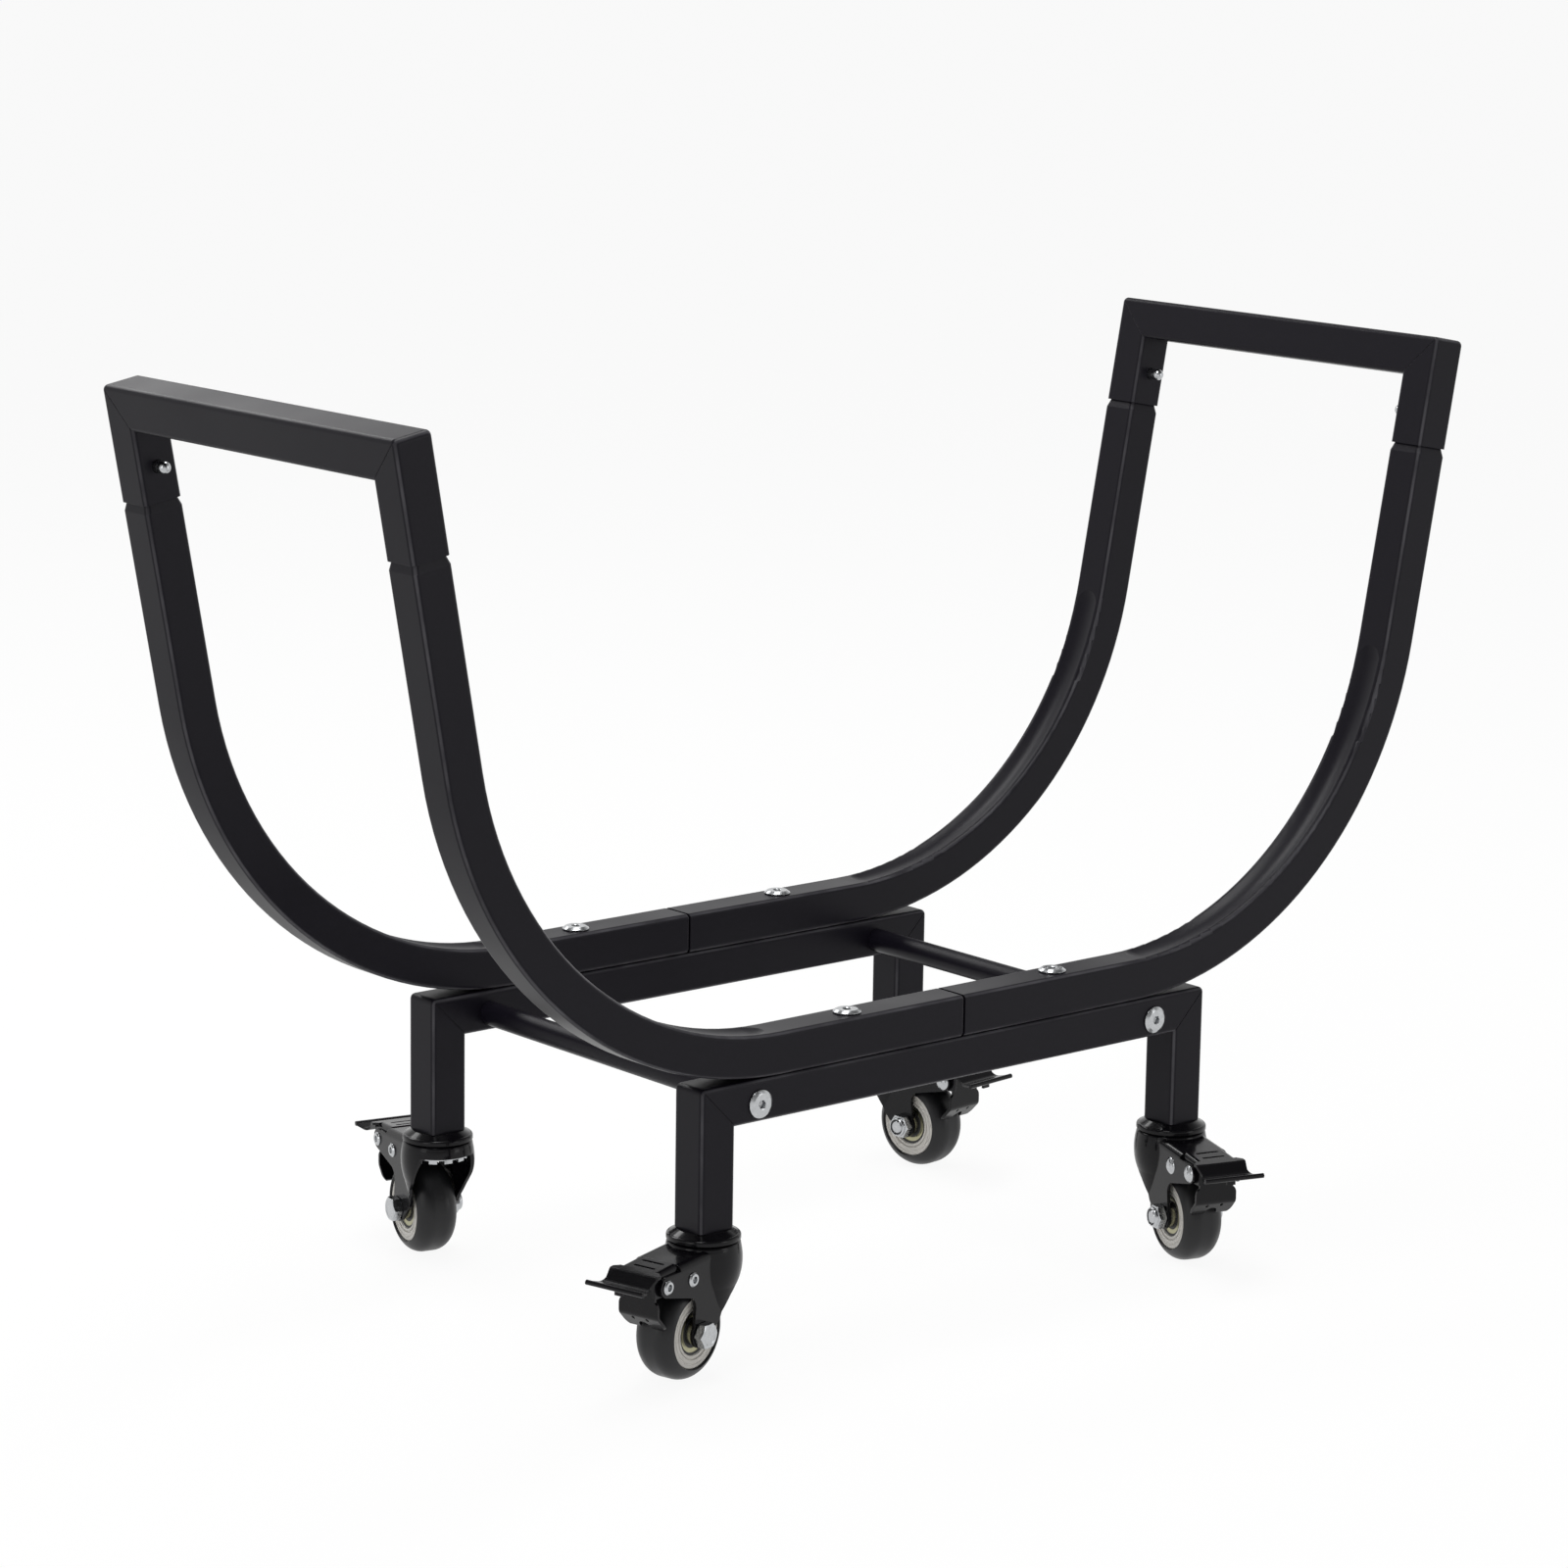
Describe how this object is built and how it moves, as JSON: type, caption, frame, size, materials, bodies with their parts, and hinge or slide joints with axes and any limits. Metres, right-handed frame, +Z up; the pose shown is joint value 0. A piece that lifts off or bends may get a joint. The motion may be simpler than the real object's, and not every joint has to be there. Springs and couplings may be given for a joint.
{
  "type": "firewood rack",
  "caption": "U-shaped firewood cradle of black square steel tube, bolted to two low base frames that stand on swivel casters with foot brakes.",
  "frame": {"origin": "on the floor, under the middle of the rack", "axes": "+X along the rack to its right end, +Y from the front row to the rear row, +Z up"},
  "size_m": [0.721, 0.3749, 0.4873],
  "materials": {
    "powder_coat": "fine-textured black powder coat",
    "caster_enamel": "glossy black electrocoat on pressed steel",
    "zinc_plate": "bright zinc plate",
    "bearing_steel": "turned steel, oiled",
    "tread": "black polyurethane, satin",
    "wheel_core": "light grey nylon with turned rings"
  },
  "bodies": {
    "rack": {"front_base_frame": "powder_coat", "front_left_arm": "powder_coat", "front_right_arm": "powder_coat", "rear_base_frame": "powder_coat", "rear_left_arm": "powder_coat", "rear_right_arm": "powder_coat", "left_cross_tube": "powder_coat", "left_end_frame": "powder_coat", "right_cross_tube": "powder_coat", "right_end_frame": "powder_coat", "cross_tube_inserts": "zinc_plate", "cross_tube_bolts": "zinc_plate", "arm_bolts": "zinc_plate", "arm_nuts": "zinc_plate", "snap_springs": "zinc_plate", "leg_inserts": "zinc_plate", "caster_stems": "zinc_plate", "caster_caps": "caster_enamel", "swivel_balls": "zinc_plate", "swivel_lock_rings": "zinc_plate"},
    "front_left_swivel": {"front_left_fork": "caster_enamel", "front_left_axle_bolt": "zinc_plate", "front_left_axle_nut": "zinc_plate", "front_left_brake_rivets": "zinc_plate"},
    "front_left_wheel": {"front_left_tread": "tread", "front_left_wheel_core": "wheel_core", "front_left_wheel_bearings": "bearing_steel"},
    "front_left_pedal": {"front_left_brake_pedal": "caster_enamel"},
    "front_left_brake": {"front_left_brake_plate": "caster_enamel"},
    "front_left_button": {"front_left_snap_button": "zinc_plate"},
    "front_right_swivel": {"front_right_fork": "caster_enamel", "front_right_axle_bolt": "zinc_plate", "front_right_axle_nut": "zinc_plate", "front_right_brake_rivets": "zinc_plate"},
    "front_right_wheel": {"front_right_tread": "tread", "front_right_wheel_core": "wheel_core", "front_right_wheel_bearings": "bearing_steel"},
    "front_right_pedal": {"front_right_brake_pedal": "caster_enamel"},
    "front_right_brake": {"front_right_brake_plate": "caster_enamel"},
    "front_right_button": {"front_right_snap_button": "zinc_plate"},
    "rear_left_swivel": {"rear_left_fork": "caster_enamel", "rear_left_axle_bolt": "zinc_plate", "rear_left_axle_nut": "zinc_plate", "rear_left_brake_rivets": "zinc_plate"},
    "rear_left_wheel": {"rear_left_tread": "tread", "rear_left_wheel_core": "wheel_core", "rear_left_wheel_bearings": "bearing_steel"},
    "rear_left_pedal": {"rear_left_brake_pedal": "caster_enamel"},
    "rear_left_brake": {"rear_left_brake_plate": "caster_enamel"},
    "rear_left_button": {"rear_left_snap_button": "zinc_plate"},
    "rear_right_swivel": {"rear_right_fork": "caster_enamel", "rear_right_axle_bolt": "zinc_plate", "rear_right_axle_nut": "zinc_plate", "rear_right_brake_rivets": "zinc_plate"},
    "rear_right_wheel": {"rear_right_tread": "tread", "rear_right_wheel_core": "wheel_core", "rear_right_wheel_bearings": "bearing_steel"},
    "rear_right_pedal": {"rear_right_brake_pedal": "caster_enamel"},
    "rear_right_brake": {"rear_right_brake_plate": "caster_enamel"},
    "rear_right_button": {"rear_right_snap_button": "zinc_plate"}
  },
  "joints": [
    {"name": "front_left_swivel_turn", "type": "hinge", "parent": "rack", "child": "front_left_swivel", "pos_m": [-0.164, -0.112, 0.06], "axis": [0, 0, 1], "continuous": true},
    {"name": "front_left_wheel_roll", "type": "hinge", "parent": "front_left_swivel", "child": "front_left_wheel", "pos_m": [-0.18341, -0.11684, 0.025], "axis": [0.2419, -0.9703, 0], "continuous": true},
    {"name": "front_left_pedal_press", "type": "hinge", "parent": "front_left_swivel", "child": "front_left_pedal", "pos_m": [-0.21077, -0.12366, 0.0562], "axis": [0.2419, -0.9703, 0], "range_deg": [0, 12]},
    {"name": "front_left_brake_press", "type": "hinge", "parent": "front_left_swivel", "child": "front_left_brake", "pos_m": [-0.19078, -0.11868, 0.0552], "axis": [0.2419, -0.9703, 0], "range_deg": [0, 2]},
    {"name": "front_left_button_press", "type": "slide", "parent": "rack", "child": "front_left_button", "axis": [0, -1, 0], "range_m": [0, 0.0105], "stiffness_N_per_m": 500, "springref_m": -0.004, "deforming": ["snap_springs"]},
    {"name": "front_right_swivel_turn", "type": "hinge", "parent": "rack", "child": "front_right_swivel", "pos_m": [0.164, -0.112, 0.06], "axis": [0, 0, 1], "continuous": true},
    {"name": "front_right_wheel_roll", "type": "hinge", "parent": "front_right_swivel", "child": "front_right_wheel", "pos_m": [0.15815, -0.13113, 0.025], "axis": [0.9563, -0.2924, 0], "continuous": true},
    {"name": "front_right_pedal_press", "type": "hinge", "parent": "front_right_swivel", "child": "front_right_pedal", "pos_m": [0.14991, -0.15809, 0.0562], "axis": [0.9563, -0.2924, 0], "range_deg": [0, 12]},
    {"name": "front_right_brake_press", "type": "hinge", "parent": "front_right_swivel", "child": "front_right_brake", "pos_m": [0.15593, -0.13839, 0.0552], "axis": [0.9563, -0.2924, 0], "range_deg": [0, 2]},
    {"name": "front_right_button_press", "type": "slide", "parent": "rack", "child": "front_right_button", "axis": [0, -1, 0], "range_m": [0, 0.0105], "stiffness_N_per_m": 500, "springref_m": -0.004, "deforming": ["snap_springs"]},
    {"name": "rear_left_swivel_turn", "type": "hinge", "parent": "rack", "child": "rear_left_swivel", "pos_m": [-0.164, 0.112, 0.06], "axis": [0, 0, 1], "continuous": true},
    {"name": "rear_left_wheel_roll", "type": "hinge", "parent": "rear_left_swivel", "child": "rear_left_wheel", "pos_m": [-0.1595, 0.13149, 0.025], "axis": [-0.9744, 0.225, 0], "continuous": true},
    {"name": "rear_left_pedal_press", "type": "hinge", "parent": "rear_left_swivel", "child": "rear_left_pedal", "pos_m": [-0.15316, 0.15896, 0.0562], "axis": [-0.9744, 0.225, 0], "range_deg": [0, 12]},
    {"name": "rear_left_brake_press", "type": "hinge", "parent": "rear_left_swivel", "child": "rear_left_brake", "pos_m": [-0.15779, 0.13889, 0.0552], "axis": [-0.9744, 0.225, 0], "range_deg": [0, 2]},
    {"name": "rear_left_button_press", "type": "slide", "parent": "rack", "child": "rear_left_button", "axis": [0, 1, 0], "range_m": [0, 0.0105], "stiffness_N_per_m": 500, "springref_m": -0.004, "deforming": ["snap_springs"]},
    {"name": "rear_right_swivel_turn", "type": "hinge", "parent": "rack", "child": "rear_right_swivel", "pos_m": [0.164, 0.112, 0.06], "axis": [0, 0, 1], "continuous": true},
    {"name": "rear_right_wheel_roll", "type": "hinge", "parent": "rear_right_swivel", "child": "rear_right_wheel", "pos_m": [0.16609, 0.09211, 0.025], "axis": [0.9945, 0.1045, 0], "continuous": true},
    {"name": "rear_right_pedal_press", "type": "hinge", "parent": "rear_right_swivel", "child": "rear_right_pedal", "pos_m": [0.16904, 0.06406, 0.0562], "axis": [0.9945, 0.1045, 0], "range_deg": [0, 12]},
    {"name": "rear_right_brake_press", "type": "hinge", "parent": "rear_right_swivel", "child": "rear_right_brake", "pos_m": [0.16689, 0.08455, 0.0552], "axis": [0.9945, 0.1045, 0], "range_deg": [0, 2]},
    {"name": "rear_right_button_press", "type": "slide", "parent": "rack", "child": "rear_right_button", "axis": [0, 1, 0], "range_m": [0, 0.0105], "stiffness_N_per_m": 500, "springref_m": -0.004, "deforming": ["snap_springs"]}
  ],
  "couplings": [
    {"joint": "front_left_brake_press", "follows": "front_left_pedal_press", "ratio": 0.16667},
    {"joint": "front_right_brake_press", "follows": "front_right_pedal_press", "ratio": 0.16667},
    {"joint": "rear_left_brake_press", "follows": "rear_left_pedal_press", "ratio": 0.16667},
    {"joint": "rear_right_brake_press", "follows": "rear_right_pedal_press", "ratio": 0.16667}
  ]
}
